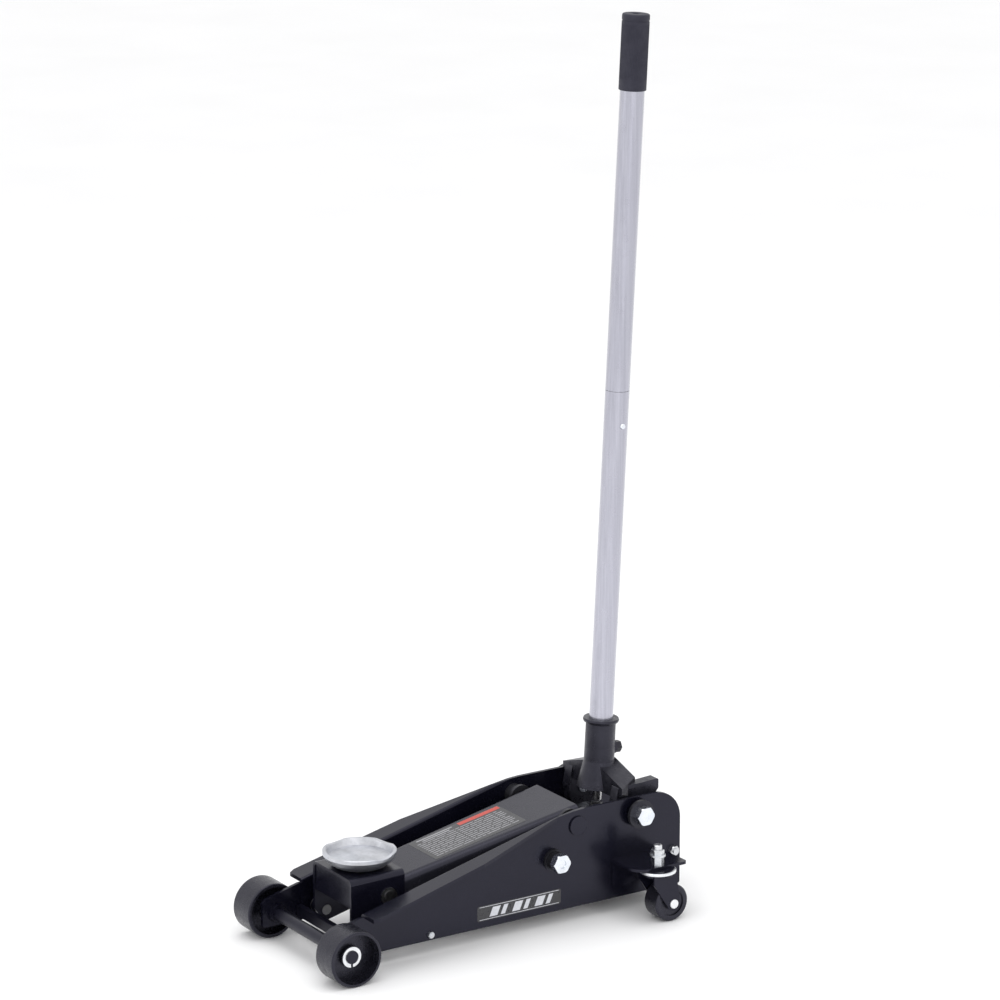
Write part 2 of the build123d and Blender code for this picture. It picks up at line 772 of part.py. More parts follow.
def caster_rivet():
    """The caster's axle, a rivet with two domed heads."""
    point = (caster_y + caster_trail, caster_radius)
    leg_x = caster_width / 2 + 4.0
    rivet = rod_x(4.0, caster_x - leg_x, caster_x + leg_x, point)
    head = rod_x(6.6, caster_x + leg_x, caster_x + leg_x + 2.4, point)
    head = fillet(head.edges().sort_by(Axis.X)[-1], 1.8)
    other = rod_x(6.6, caster_x - leg_x - 2.4, caster_x - leg_x, point)
    other = fillet(other.edges().sort_by(Axis.X)[0], 1.8)
    return rivet + head + other


def caster_wheel():
    """The caster's wheel, crowned a little and dished at the sides."""
    point = (caster_y + caster_trail, caster_radius)
    half = caster_width / 2
    wheel = rod_x(caster_radius, caster_x - half, caster_x + half, point)
    wheel = fillet(wheel.edges().filter_by(GeomType.CIRCLE), 3.0)
    for x0, x1 in ((caster_x + half - 2.0, caster_x + half + 1), (caster_x - half - 1, caster_x - half + 2.0)):
        wheel -= ring_x(18.0, 9.0, x0, x1, point)
    return wheel - rod_x(4.0 + running_gap, caster_x - 25, caster_x + 25, point)


def caster_stud():
    """The stud that the fork swivels on, with its head under the crown."""
    stud = rod_z(6.0, 66.4, 108.3, caster_x, caster_y)
    stud = chamfer(stud.edges().sort_by(Axis.Z)[-1], 1.2)
    return stud + rod_z(9.5, 62.2, 66.4, caster_x, caster_y)


def caster_race():
    """The bright race ring above the fork."""
    ring = rod_z(25.5, 70.8, 74.2, caster_x, caster_y)
    ring = fillet(ring.edges().group_by(Axis.Z)[-1], 1.4)
    return ring - rod_z(6.0, 60.0, 80.0, caster_x, caster_y)


def caster_nuts():
    """The tall nut and the flanged lock nut above the bracket."""
    tall = hex_z(15.5, bracket_plate_z, bracket_plate_z + 13.5, caster_x, caster_y)
    lock = hex_z(16.0, bracket_plate_z + 15.5, bracket_plate_z + 22.5, caster_x, caster_y)
    lock += rod_z(11.0, bracket_plate_z + 13.5, bracket_plate_z + 16.0, caster_x, caster_y)
    bore = rod_z(6.0, 60.0, 120.0, caster_x, caster_y)
    return [tall - bore, lock - bore]


# ---------------------------------------------------------------- pivots and their washers
def lift_shaft():
    """The lift arm's pivot shaft, with a low cap welded on at each end."""
    cap = rod_x(13.5, plate_outer_x, plate_outer_x + 3.0, lift_pivot)
    cap = fillet(cap.edges().sort_by(Axis.X)[-1], 0.8)
    return rod_x(lift_shaft_radius, -plate_outer_x, plate_outer_x, lift_pivot) + cap + mirrored(cap)


def lift_collars():
    """Collars on the pivot shaft between the arm and the side plates."""
    wide_x = arm_half_rear + 0.6
    narrow_x = wide_x + 5.0
    wide = ring_x(17.0, lift_shaft_radius, wide_x, narrow_x, lift_pivot)
    narrow = ring_x(14.0, lift_shaft_radius, narrow_x, plate_inner_x, lift_pivot)
    return both(wide) + both(narrow)


def bolt_washers():
    """The dark washers of the four pivot bolts."""
    link = ring_x(15.0, 8.0, plate_outer_x, plate_outer_x + 3.5, link_pivot)
    handle = ring_x(20.0, 8.0, plate_outer_x + 7.0, plate_outer_x + 12.0, handle_pivot)
    return both(link) + both(handle)


def bolt_spacers():
    """The spacers: outside the washers of the link bolts, inside those of the handle bolts."""
    link = ring_x(12.8, 8.0, plate_outer_x + 3.5, 96.0, link_pivot)
    handle = ring_x(14.0, 8.0, plate_outer_x, plate_outer_x + 7.0, handle_pivot)
    return both(link) + both(handle)


def saddle_ring():
    """The ring that keeps the saddle's stem in the bracket."""
    ring = Cylinder(15.0, 2.4, align=BASE) - Cylinder(12.0, 2.4, align=BASE)
    return Pos(0, saddle_y, 105.2) * ring


# ---------------------------------------------------------------- write the parts
os.makedirs("parts", exist_ok=True)

right_plate = side_plate()
save("side_plate_right", right_plate)
save("side_plate_left", mirrored(right_plate))
save("front_crossbar", block(-plate_inner_x, plate_inner_x, 30.0, 38.5, 29.0, 43.5))
save("tie_rods", rod_x(3.0, -87.0, 87.0, lower_tie), rod_x(4.0, -91.0, 91.0, rear_tie))
save("tie_rod_nuts", *tie_nuts())
save("rear_cross_plate", rear_cross_plate())
axle_collars = both(rod_x(12.5, plate_inner_x - 6.0, plate_inner_x, axle_point))
save("front_axle", rod_x(9.0, -118.0, 118.0, axle_point) + axle_collars)
save("axle_clips", *both(wheel_clip()))
save("lift_pivot_shaft", lift_shaft())
save("lift_pivot_collars", *lift_collars())
save("link_bolts", *both(link_bolt()))
save("handle_pivot_bolts", *both(handle_bolt()))
save("pivot_bolt_washers", *bolt_washers())
save("pivot_bolt_spacers", *bolt_spacers())

save("pump_base", pump_base())
save("pump_base_bolts", *base_bolts())
save("ram_cylinder", ram_cylinder())
save("oil_tank", tank())
save("cylinder_gland_nut", gland_nut())
save("ram", ram())
save("ram_head", ram_head())
save("return_springs", *both(return_spring()))
save("pump_barrel", pump_barrel())
save("pump_plunger", pump_plunger())
save("plunger_spring", pump_spring())
save("release_spindle", release_spindle())

save("lift_arm", lift_arm())
save("arm_levers", *arm_levers())
save("lever_pin", rod_x(7.0, -29.0, 29.0, lever_pin))
save("connecting_rods", *both(connecting_rod()))

save("saddle_bracket", saddle_bracket())
save("bracket_front_plate", bracket_front_plate())
save("arm_end_pin", rod_x(8.0, -53.0, 53.0, head_pivot))
save("link_end_pin", *both(rod_x(7.0, bracket_outer_x - 5.0, 71.0, head_link_pivot)))
arm_pin_rings = pin_rings(8.0, bracket_outer_x, head_pivot)
save("cross_pin_rings", *arm_pin_rings, *pin_rings(7.0, link_outer_x + 0.5, head_link_pivot))
save("saddle", saddle())
save("saddle_retaining_ring", saddle_ring())

save("handle_socket", handle_socket())
save("socket_clamp_screw", clamp_screw())
save("pump_roller_pin", roller_pin())
save("pump_roller", pump_roller_ring())
save("lower_handle_tube", lower_tube())
top_tube, joint_sleeve = upper_tube()
save("upper_handle_tube", top_tube)
save("handle_joint_sleeve", joint_sleeve)
save("handle_grip", grip())
save("snap_button", snap_button())
save("snap_button_spring", button_spring())
save("release_foot", release_foot())

save("caster_brackets", *both(caster_bracket()))
save("caster_studs", *both(caster_stud()))
save("caster_race_rings", *both(caster_race()))
save("caster_stud_nuts", *[nut for piece in caster_nuts() for nut in both(piece)])
for name, piece in (
    ("front_wheel", front_wheel()),
    ("caster_fork", caster_fork()),
    ("caster_rivet", caster_rivet()),
    ("caster_wheel", caster_wheel()),
):
    save(f"{name}_right", piece)
    save(f"{name}_left", mirrored(piece))
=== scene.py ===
from math import cos, pi, radians, sin

import bmesh
import bpy
from mathutils import Matrix, Vector


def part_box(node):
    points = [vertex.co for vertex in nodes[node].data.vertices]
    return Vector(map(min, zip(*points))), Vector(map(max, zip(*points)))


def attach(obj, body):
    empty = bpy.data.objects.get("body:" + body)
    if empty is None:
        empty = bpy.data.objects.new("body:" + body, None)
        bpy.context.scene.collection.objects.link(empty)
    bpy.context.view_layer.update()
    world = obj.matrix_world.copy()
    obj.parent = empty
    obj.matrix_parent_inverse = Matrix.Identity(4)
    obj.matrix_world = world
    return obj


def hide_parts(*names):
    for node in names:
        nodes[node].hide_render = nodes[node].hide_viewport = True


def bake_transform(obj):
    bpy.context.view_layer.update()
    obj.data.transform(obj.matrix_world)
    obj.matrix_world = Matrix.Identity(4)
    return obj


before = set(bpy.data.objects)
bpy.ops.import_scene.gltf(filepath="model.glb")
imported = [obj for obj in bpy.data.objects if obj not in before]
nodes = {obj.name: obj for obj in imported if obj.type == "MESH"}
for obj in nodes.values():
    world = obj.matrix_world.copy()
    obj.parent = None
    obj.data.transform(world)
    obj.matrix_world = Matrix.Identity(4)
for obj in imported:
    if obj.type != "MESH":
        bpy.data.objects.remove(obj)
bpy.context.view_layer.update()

# Everything is in metres, in the CAD frame: the saddle is at -Y, the handle at +Y, right is +X.
HANDLE_TILT = radians(2.9)
HANDLE_FOOT = Vector((0, 0.210, 0.130))
ARM_SLOPE = 0.19
ARM_LEAN = 0.18776
ARM_TOP_AT_ORIGIN = 0.0779 + ARM_SLOPE * 0.254


# ---------------------------------------------------------------- mesh helpers
def add_mesh(name, bm, smooth=True, sharp_angle=35.0):
    """A new object from a bmesh, with smooth faces and sharp edges kept crisp."""
    bmesh.ops.recalc_face_normals(bm, faces=bm.faces[:])
    mesh = bpy.data.meshes.new(name)
    bm.to_mesh(mesh)
    bm.free()
    if smooth:
        mesh.shade_smooth()
        mesh.set_sharp_from_angle(angle=radians(sharp_angle))
    piece = bpy.data.objects.new(name, mesh)
    bpy.context.scene.collection.objects.link(piece)
    return piece


def lathe(bm, profile, place, steps=96, wobble=None):
    """Turn a list of (radius, height) round the local Z axis and move it with the matrix place."""
    rings = []
    for radius, height in profile:
        ring = []
        for step in range(steps):
            angle = 2 * pi * step / steps
            r = radius if wobble is None else radius + wobble(radius, height, angle)
            ring.append(bm.verts.new(place @ Vector((r * cos(angle), r * sin(angle), height))))
        rings.append(ring)
    for low, high in zip(rings, rings[1:]):
        for step in range(steps):
            after = (step + 1) % steps
            bm.faces.new((low[step], low[after], high[after], high[step]))
    return rings


def rounded_rectangle(width, height, radius, steps=6):
    """Points round a rectangle with round corners, centred on the origin."""
    points = []
    for corner, (sx, sy) in enumerate(((1, 1), (-1, 1), (-1, -1), (1, -1))):
        cx, cy = sx * (width / 2 - radius), sy * (height / 2 - radius)
        for step in range(steps + 1):
            angle = pi / 2 * (corner + step / steps)
            points.append((cx + radius * cos(angle), cy + radius * sin(angle)))
    return points


def flat_patch(bm, points, place, thickness, layer=0):
    """A thin plate with the given outline, in the local XY plane of the matrix place."""
    bottom = [bm.verts.new(place @ Vector((x, y, 0))) for x, y in points]
    top = [bm.verts.new(place @ Vector((x, y, thickness))) for x, y in points]
    faces = [bm.faces.new(top), bm.faces.new(list(reversed(bottom)))]
    for i in range(len(points)):
        j = (i + 1) % len(points)
        faces.append(bm.faces.new((bottom[i], bottom[j], top[j], top[i])))
    for face in faces:
        face.material_index = layer


def helix(bm, start, end, radius, wire, turns, hooks=0.0, steps=18, sides=8):
    """A coil of wire between two points; with hooks its ends run in to the axis and form loops."""
    axis = (end - start).normalized()
    side = axis.cross(Vector((0, 0, 1))).normalized()
    up = side.cross(axis)
    path = []
    count = int(turns * steps)
    for i in range(count + 1):
        t = i / count
        angle = 2 * pi * turns * t
        middle = start + axis * ((end - start).length * t)
        path.append(middle + side * (radius * cos(angle)) + up * (radius * sin(angle)))
    if hooks:
        first = hook_points(start, -axis, side, up, hooks, radius)
        last = hook_points(end, axis, side, up, hooks, radius)
        path = list(reversed(first)) + path + last
    sweep(bm, path, wire, sides)


def hook_points(point, away, side, up, reach, radius):
    """A wire that leaves the coil, crosses to its axis and turns a loop round the bar."""
    points = []
    for i in range(1, 5):
        t = i / 4
        points.append(point + away * (reach * 0.28 * t) + side * (radius * (1 - t)))
    loop = reach * 0.36
    centre = point + away * (reach * 0.28 + loop)
    for i in range(1, 21):
        angle = pi + 1.75 * pi * i / 20
        points.append(centre + away * (loop * cos(angle)) + up * (loop * sin(angle)))
    return points


def sweep(bm, path, radius, sides=8):
    """A round wire along a list of points."""
    rings = []
    normal = None
    for i, point in enumerate(path):
        ahead = path[min(i + 1, len(path) - 1)] - path[max(i - 1, 0)]
        ahead.normalize()
        if normal is None:
            normal = ahead.orthogonal().normalized()
        normal = (normal - ahead * normal.dot(ahead)).normalized()
        other = ahead.cross(normal)
        ring = []
        for k in range(sides):
            angle = 2 * pi * k / sides
            ring.append(bm.verts.new(point + (normal * cos(angle) + other * sin(angle)) * radius))
        rings.append(ring)
    for low, high in zip(rings, rings[1:]):
        for k in range(sides):
            bm.faces.new((low[k], low[(k + 1) % sides], high[(k + 1) % sides], high[k]))
    bm.faces.new(list(reversed(rings[0])))
    bm.faces.new(rings[-1])


# ---------------------------------------------------------------- materials
# The tint of the highlights on every black surface.
COOL = (0.80, 0.79, 1.0, 1.0)


class Shader:
    """A small helper that adds nodes to one material and links them."""

    def __init__(self, name):
        self.material = bpy.data.materials.new(name)
        self.material.use_nodes = True
        self.tree = self.material.node_tree
        self.main = self.tree.nodes["Principled BSDF"]
        self.where = self.add("ShaderNodeTexCoord").outputs["Object"]

    def add(self, kind, **settings):
        node = self.tree.nodes.new(kind)
        for key, value in settings.items():
            setattr(node, key, value)
        return node

    def link(self, source, target):
        self.tree.links.new(source, target)

    def stretched(self, scale):
        """Object coordinates stretched by a scale for each axis."""
        mapping = self.add("ShaderNodeMapping")
        self.link(self.where, mapping.inputs["Vector"])
        mapping.inputs["Scale"].default_value = scale
        return mapping.outputs["Vector"]

    def noise(self, scale, detail=3.0, roughness=0.55, vector=None):
        node = self.add("ShaderNodeTexNoise")
        node.inputs["Scale"].default_value = scale
        node.inputs["Detail"].default_value = detail
        node.inputs["Roughness"].default_value = roughness
        self.link(vector or self.where, node.inputs["Vector"])
        return node.outputs["Fac"]

    def ramp(self, factor, *stops):
        """A colour ramp; each stop is (place, value or colour)."""
        node = self.add("ShaderNodeValToRGB")
        elements = node.color_ramp.elements
        while len(elements) < len(stops):
            elements.new(0.5)
        for element, (place, value) in zip(elements, stops):
            element.position = place
            element.color = (*value, 1) if hasattr(value, "__len__") else (value, value, value, 1)
        self.link(factor, node.inputs["Fac"])
        return node.outputs["Color"]

    def mix(self, factor, first, second):
        """Colour mix; each of first and second is a colour or an output."""
        node = self.add("ShaderNodeMix", data_type="RGBA")
        for value, key in ((factor, 0), (first, 6), (second, 7)):
            if isinstance(value, bpy.types.NodeSocket):
                self.link(value, node.inputs[key])
            elif key == 0:
                node.inputs[key].default_value = value
            else:
                node.inputs[key].default_value = (*value, 1)
        return node.outputs[2]

    def maths(self, operation, first, second):
        node = self.add("ShaderNodeMath", operation=operation)
        for value, key in ((first, 0), (second, 1)):
            if isinstance(value, bpy.types.NodeSocket):
                self.link(value, node.inputs[key])
            else:
                node.inputs[key].default_value = value
        return node.outputs[0]

    def base(self, colour):
        if isinstance(colour, bpy.types.NodeSocket):
            self.link(colour, self.main.inputs["Base Color"])
        else:
            self.main.inputs["Base Color"].default_value = (*colour, 1)

    def rough(self, value):
        if isinstance(value, bpy.types.NodeSocket):
            self.link(value, self.main.inputs["Roughness"])
        else:
            self.main.inputs["Roughness"].default_value = value

    def set(self, **values):
        for key, value in values.items():
            self.main.inputs[key.replace("_", " ")].default_value = value

    def bump(self, *heights):
        """Bump from (height output, strength, distance) layers, the coarse ones first."""
        normal = None
        for height, strength, distance in heights:
            node = self.add("ShaderNodeBump")
            node.inputs["Strength"].default_value = strength
            node.inputs["Distance"].default_value = distance
            self.link(height, node.inputs["Height"])
            if normal is not None:
                self.link(normal, node.inputs["Normal"])
            normal = node.outputs["Normal"]
        self.link(normal, self.main.inputs["Normal"])


def gloss_paint(name, dark, light, rough=0.2, peel=0.35):
    """Sprayed gloss enamel: faint colour drift, orange peel, dust specks and fine rub marks."""
    s = Shader(name)
    drift = s.noise(9.0, 3.0)
    dust = s.ramp(s.noise(900.0, 2.0), (0.66, 0.0), (0.74, 1.0))
    body = s.mix(s.ramp(drift, (0.3, 0.0), (0.7, 1.0)), dark, light)
    s.base(s.mix(s.maths("MULTIPLY", dust, 0.12), body, (0.22, 0.22, 0.25)))
    rubs = s.noise(60.0, 5.0, 0.6)
    s.rough(s.ramp(rubs, (0.35, rough), (0.75, rough + 0.06)))
    s.set(IOR=1.42, Specular_Tint=COOL)
    s.bump((s.noise(240.0, 2.0), peel * 0.4, 0.00025), (s.noise(26.0, 1.0), peel * 0.5, 0.0006))
    return s.material


def cast_paint(name, dark, light, rough=0.34):
    """Black paint over a rough casting: sand texture, soft lumps and worn grey high spots."""
    s = Shader(name)
    lumps = s.noise(55.0, 3.0)
    worn = s.ramp(s.noise(160.0, 6.0, 0.7), (0.62, 0.0), (0.8, 1.0))
    body = s.mix(s.ramp(lumps, (0.3, 0.0), (0.72, 1.0)), dark, light)
    s.base(s.mix(s.maths("MULTIPLY", worn, 0.35), body, (0.10, 0.10, 0.115)))
    s.rough(s.ramp(s.noise(120.0, 4.0), (0.3, rough - 0.1), (0.8, rough + 0.16)))
    s.set(Specular_Tint=COOL)
    grains = s.noise(620.0, 3.0, 0.65)
    s.bump((lumps, 0.45, 0.0012), (grains, 0.5, 0.0005))
    return s.material


def zinc(name, dark, light, rough=0.26, along=(1.0, 1.0, 1.0), passivation=0.15):
    """Bright zinc plate: passivation clouds, fine tool marks and small dull spots."""
    s = Shader(name)
    clouds = s.noise(42.0, 4.0, 0.6)
    tint = s.mix(s.ramp(clouds, (0.32, 0.0), (0.7, 1.0)), dark, light)
    spots = s.ramp(s.noise(320.0, 3.0), (0.6, 0.0), (0.72, 1.0))
    blue = s.ramp(s.noise(18.0, 2.0), (0.45, 0.0), (0.6, 1.0))
    cool = s.mix(s.maths("MULTIPLY", blue, passivation), tint, (0.62, 0.70, 0.82))
    s.base(s.mix(s.maths("MULTIPLY", spots, 0.3), cool, (0.42, 0.42, 0.43)))
    marks = s.noise(260.0, 4.0, 0.7, s.stretched(along))
    s.rough(s.ramp(marks, (0.3, rough - 0.08), (0.75, rough + 0.16)))
    s.set(Metallic=1.0)
    s.bump((clouds, 0.12, 0.0004), (marks, 0.28, 0.00018))
    return s.material


def machined(name, colour, rough=0.3, along=(1.0, 1.0, 1.0)):
    """Plain turned or ground steel with a thin film of oil."""
    s = Shader(name)
    oil = s.noise(30.0, 3.0)
    darker = tuple(0.55 * part for part in colour)
    s.base(s.mix(s.ramp(oil, (0.35, 0.0), (0.7, 1.0)), darker, colour))
    marks = s.noise(700.0, 3.0, 0.6, s.stretched(along))
    s.rough(s.ramp(marks, (0.3, rough - 0.1), (0.75, rough + 0.15)))
    s.set(Metallic=1.0)
    s.bump((marks, 0.3, 0.00012))
    return s.material


def satin_tube(name):
    """Silver enamel on a drawn tube: fine lengthwise lines and metal flake."""
    s = Shader(name)
    lines = s.noise(300.0, 4.0, 0.6, s.stretched((1.0, 1.0, 0.015)))
    flake = s.ramp(s.noise(2600.0, 1.0), (0.58, 0.0), (0.7, 1.0))
    tone = s.mix(s.ramp(lines, (0.3, 0.0), (0.72, 1.0)), (0.36, 0.36, 0.43), (0.47, 0.47, 0.55))
    s.base(s.mix(s.maths("MULTIPLY", flake, 0.3), tone, (0.70, 0.70, 0.78)))
    s.rough(s.ramp(s.noise(80.0, 3.0), (0.3, 0.26), (0.75, 0.38)))
    s.set(Metallic=1.0, Coat_Weight=1.0, Coat_Roughness=0.12, Coat_IOR=1.9)
    s.bump((lines, 0.14, 0.0002), (s.noise(420.0, 2.0), 0.12, 0.0002))
    return s.material


def rubber(name, dark, light):
    """Matte moulded rubber with a fine grain and pale bloom."""
    s = Shader(name)
    bloom = s.noise(70.0, 4.0)
    s.base(s.mix(s.ramp(bloom, (0.35, 0.0), (0.75, 1.0)), dark, light))
    grain = s.noise(1100.0, 3.0)
    s.rough(s.ramp(grain, (0.3, 0.62), (0.75, 0.82)))
    s.set(Sheen_Weight=0.04, Sheen_Roughness=0.5, Specular_Tint=COOL)
    s.bump((grain, 0.45, 0.00025))
    return s.material


def nylon(name):
    """Black moulded nylon: faint flow marks and a soft gloss."""
    s = Shader(name)
    flow = s.noise(45.0, 4.0, 0.6, s.stretched((0.4, 1.0, 1.0)))
    s.base(s.mix(s.ramp(flow, (0.3, 0.0), (0.75, 1.0)), (0.006, 0.006, 0.009), (0.014, 0.014, 0.019)))
    s.rough(s.ramp(s.noise(130.0, 5.0, 0.65), (0.3, 0.24), (0.75, 0.42)))
    s.set(Specular_Tint=COOL)
    s.bump((flow, 0.2, 0.0005), (s.noise(800.0, 2.0), 0.15, 0.0002))
    return s.material


def print_ink(name, colour, rough=0.4):
    """Ink on a label: slightly uneven, with a satin film over it."""
    s = Shader(name)
    paler = tuple(min(1.0, 1.18 * part + 0.01) for part in colour)
    s.base(s.mix(s.ramp(s.noise(420.0, 3.0), (0.3, 0.0), (0.75, 1.0)), colour, paler))
    s.rough(s.ramp(s.noise(90.0, 2.0), (0.3, rough - 0.06), (0.75, rough + 0.08)))
    s.set(Coat_Weight=0.15, Coat_Roughness=0.25)
    s.bump((s.noise(500.0, 2.0), 0.08, 0.0002))
    return s.material


BLACK = (0.0030, 0.0030, 0.0070)
BLACK_SOFT = (0.0060, 0.0060, 0.0120)
# The arm's black enamel is lighter than the chassis black: painted highlight standing in for the overhead
# light on the arm's top.
ARM_BLACK_LIT = (0.013, 0.013, 0.019)

look = {
    "chassis": gloss_paint("chassis_paint", BLACK, BLACK_SOFT),
    # Arm paint: the same black enamel as the chassis, with both tones lightened as painted highlight.
    "arm": gloss_paint("arm_paint_lit", ARM_BLACK_LIT, (0.021, 0.021, 0.029), rough=0.24, peel=0.45),
    "bracket": gloss_paint("bracket_paint", BLACK, BLACK_SOFT, rough=0.18, peel=0.5),
    "inner": gloss_paint("inner_paint", BLACK, BLACK_SOFT, rough=0.3, peel=0.6),
    "wheel": cast_paint("wheel_paint", (0.004, 0.004, 0.007), (0.009, 0.009, 0.013), rough=0.28),
    "cast": cast_paint("cast_paint", (0.006, 0.006, 0.009), (0.013, 0.013, 0.018)),
    "bolt": zinc(
        "bolt_zinc", (0.72, 0.75, 0.80), (0.88, 0.91, 0.96), rough=0.2, along=(0.3, 1.0, 1.0), passivation=0.3
    ),
    "zinc": zinc("plain_zinc", (0.55, 0.56, 0.58), (0.76, 0.77, 0.79), rough=0.28),
    "race": zinc("race_zinc", (0.78, 0.79, 0.81), (0.92, 0.93, 0.95), rough=0.3),
    "saddle": zinc("saddle_zinc", (0.46, 0.47, 0.50), (0.68, 0.69, 0.73), rough=0.4, passivation=0.12),
    "steel": machined("turned_steel", (0.52, 0.52, 0.53), rough=0.3),
    "pin": machined("dark_pin_steel", (0.32, 0.32, 0.33), rough=0.36, along=(0.1, 1.0, 1.0)),
    "rod": machined("ground_rod", (0.78, 0.78, 0.8), rough=0.16, along=(1.0, 0.1, 1.0)),
    "oxide": gloss_paint("black_oxide", (0.012, 0.012, 0.014), (0.02, 0.02, 0.022), rough=0.34, peel=0.3),
    "wire": machined("spring_wire", (0.4, 0.4, 0.41), rough=0.34),
    "tube": satin_tube("silver_enamel"),
    "grip": rubber("grip_rubber", (0.014, 0.014, 0.021), (0.024, 0.024, 0.033)),
    "nylon": nylon("black_nylon"),
    "panel": print_ink("panel_film", (0.022, 0.022, 0.026), rough=0.3),
    "pale": print_ink("pale_ink", (0.56, 0.57, 0.61)),
    "dim": print_ink("dim_ink", (0.30, 0.30, 0.32)),
    "red": print_ink("red_ink", (0.46, 0.045, 0.03)),
}

LOOK_OF = {
    "side_plate_right": "chassis",
    "side_plate_left": "chassis",
    "front_crossbar": "inner",
    "tie_rods": "zinc",
    "tie_rod_nuts": "zinc",
    "rear_cross_plate": "inner",
    "front_axle": "inner",
    "axle_clips": "race",
    "lift_pivot_shaft": "chassis",
    "lift_pivot_collars": "oxide",
    "link_bolts": "bolt",
    "handle_pivot_bolts": "bolt",
    "pivot_bolt_washers": "oxide",
    "pivot_bolt_spacers": "oxide",
    "caster_brackets": "chassis",
    "caster_studs": "zinc",
    "caster_race_rings": "race",
    "caster_stud_nuts": "zinc",
    "pump_base": "cast",
    "pump_base_bolts": "pin",
    "ram_cylinder": "inner",
    "oil_tank": "inner",
    "cylinder_gland_nut": "steel",
    "return_springs": "wire",
    "pump_barrel": "steel",
    "plunger_spring": "wire",
    "lift_arm": "arm",
    "arm_levers": "inner",
    "lever_pin": "pin",
    "connecting_rods": "inner",
    "saddle_bracket": "bracket",
    "bracket_front_plate": "bracket",
    "arm_end_pin": "pin",
    "link_end_pin": "pin",
    "cross_pin_rings": "pin",
    "saddle": "saddle",
    "saddle_retaining_ring": "pin",
    "ram": "rod",
    "ram_head": "cast",
    "pump_plunger": "rod",
    "release_spindle": "steel",
    "handle_socket": "cast",
    "socket_clamp_screw": "oxide",
    "pump_roller_pin": "pin",
    "pump_roller": "steel",
    "lower_handle_tube": "tube",
    "upper_handle_tube": "tube",
    "handle_joint_sleeve": "steel",
    "handle_grip": "grip",
    "snap_button": "bolt",
    "snap_button_spring": "wire",
    "release_foot": "steel",
    "front_wheel_right": "wheel",
    "front_wheel_left": "wheel",
    "caster_fork_right": "bracket",
    "caster_fork_left": "bracket",
    "caster_rivet_right": "race",
    "caster_rivet_left": "race",
    "caster_wheel_right": "nylon",
    "caster_wheel_left": "nylon",
}


def paint_nodes():
    """Give every CAD node its material."""
    for name, node in nodes.items():
        node.data.materials.clear()
        node.data.materials.append(look[LOOK_OF[name]])


# ---------------------------------------------------------------- pieces
def on_handle():
    """The matrix that puts an upright local axis on the handle's line."""
    return Matrix.Translation(HANDLE_FOOT) @ Matrix.Rotation(-HANDLE_TILT, 4, "X")


def build_grip():
    """The rubber grip: fine upright ribs between plain bands, with a rounded closed top."""
    bottom, top, radius = 0.9847, 1.0860, 0.0185
    low_band, high_band, corner = 0.013, 0.012, 0.0025
    depth = 0.00045
    ribs = 56

    def wobble(r, height, angle):
        if r < radius - 0.001 or not bottom + low_band < height < top - high_band:
            return 0.0
        edge = min(height - bottom - low_band, top - high_band - height) / 0.003
        return -depth * min(1.0, max(0.0, edge)) * (0.5 - 0.5 * cos(ribs * angle))

    heights = [bottom + 0.0006, bottom + 0.006, bottom + 0.0125, bottom + 0.0131]
    rows = 40
    heights += [bottom + 0.014 + (top - 0.027 - bottom) * i / rows for i in range(rows + 1)]
    profile = [(0.0166, bottom), (radius - 0.0006, bottom)] + [(radius, h) for h in heights]
    profile += [(radius, top - 0.0121), (radius, top - 0.0105), (radius - 0.0007, top - 0.0098)]
    profile += [(radius - 0.0007, top - 0.0086), (radius, top - 0.0079)]
    for step in range(7):
        angle = pi / 2 * step / 6
        profile.append((radius - corner + corner * cos(angle), top - corner + corner * sin(angle)))
    profile += [(0.0062, top), (0.0052, top - 0.0006), (0.0040, top - 0.0006), (0.0032, top - 0.0058)]
    bm = bmesh.new()
    rings = lathe(bm, profile, on_handle(), steps=ribs * 6, wobble=wobble)
    bm.faces.new(rings[-1])
    grip = add_mesh("grip_ribbed", bm, sharp_angle=50)
    grip.data.materials.append(look["grip"])
    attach(grip, "handle_body")
    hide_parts("handle_grip")


def build_springs():
    """Wound springs in place of the closed CAD tubes."""
    low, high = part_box("return_springs")
    centre_x, centre_z = 0.038, 0.068
    for side, sign in (("right", 1), ("left", -1)):
        bm = bmesh.new()
        start = Vector((sign * centre_x, low.y + 0.0160, centre_z))
        end = Vector((sign * centre_x, high.y - 0.0160, centre_z))
        helix(bm, start, end, 0.0049, 0.00105, turns=34, hooks=0.0125, steps=16, sides=6)
        spring = add_mesh(f"return_spring_{side}", bm)
        spring.data.materials.append(look["wire"])
        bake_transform(spring)
        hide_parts("return_springs")

    low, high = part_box("plunger_spring")
    bm = bmesh.new()
    x, z = (low.x + high.x) / 2, (low.z + high.z) / 2
    start, end = Vector((x, low.y + 0.001, z)), Vector((x, high.y - 0.001, z))
    helix(bm, start, end, 0.0068, 0.00085, turns=6.5, steps=24)
    spring = add_mesh("plunger_spring_wound", bm)
    spring.data.materials.append(look["wire"])
    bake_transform(spring)
    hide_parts("plunger_spring")


